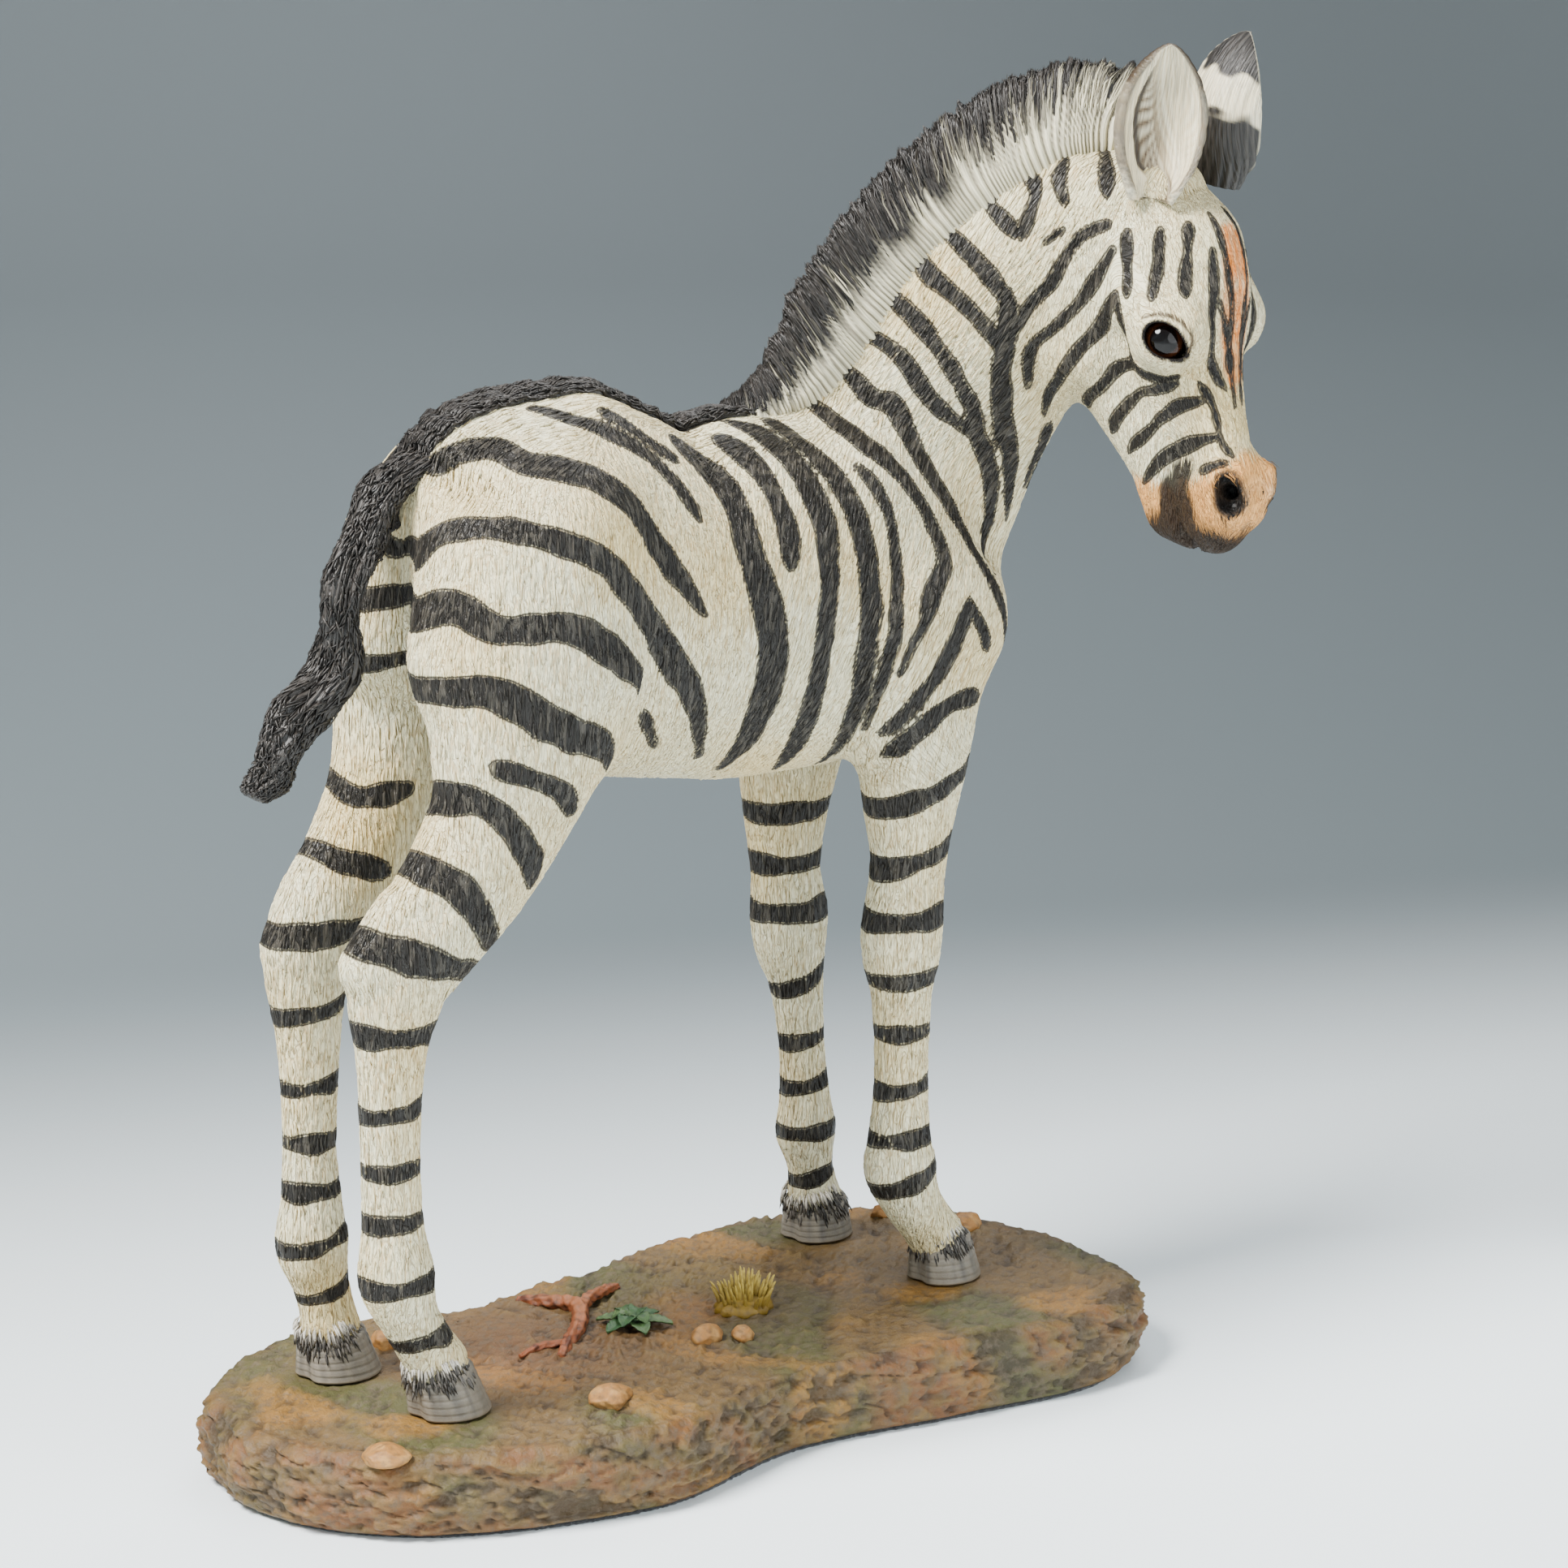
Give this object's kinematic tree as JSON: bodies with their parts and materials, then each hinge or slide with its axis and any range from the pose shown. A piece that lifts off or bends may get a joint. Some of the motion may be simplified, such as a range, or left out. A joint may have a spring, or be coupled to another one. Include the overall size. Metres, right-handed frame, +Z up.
{
  "type": "zebra foal figurine",
  "caption": "Painted resin figurine of a standing zebra foal that looks back over its right shoulder, on a modelled patch of ground with felt beneath.",
  "frame": {"origin": "middle of the underside of the felt pad's plane, under the middle of the figurine's bounding box", "axes": "+X the way the foal's body faces, +Y its left side, +Z up"},
  "size_m": [0.2334, 0.11, 0.2873],
  "materials": {
    "coat": "cast resin tooled as short hair, hand painted cream white with charcoal stripes, satin",
    "dark_hair": "cast resin tooled as long hair, painted charcoal with cream roots, satin",
    "hoof": "painted grey horn, satin",
    "eye": "set-in black eye, high gloss",
    "earth": "tooled resin ground, brown with olive, ochre and pink washes",
    "felt": "black felt",
    "stone": "resin pebbles painted tan",
    "root": "resin root painted red brown",
    "leaf": "resin leaves painted green",
    "straw": "resin grass painted straw yellow"
  },
  "bodies": {
    "root": {"head": "coat", "neck": "coat", "trunk": "coat", "foreleg_right_upper": "coat", "foreleg_right_lower": "coat", "foreleg_left_upper": "coat", "foreleg_left_lower": "coat", "hindleg_right_upper": "coat", "hindleg_right_lower": "coat", "hindleg_left_upper": "coat", "hindleg_left_lower": "coat", "hoof_hind_right": "hoof", "hoof_hind_left": "hoof", "hoof_fore_right": "hoof", "hoof_fore_left": "hoof", "eye_right": "eye", "eye_left": "eye", "ear_right": "coat", "ear_left": "coat", "mane": "dark_hair", "tail": "dark_hair", "base": "earth", "felt_pad": "felt", "stone_front": "stone", "stone_rear": "stone", "stone_grass_large": "stone", "stone_grass_small": "stone", "stone_behind_hoof": "stone", "stone_far_edge": "stone", "stone_between_hooves": "stone", "root": "root", "leafy_plant": "leaf", "grass_tuft": "straw"}
  },
  "joints": []
}
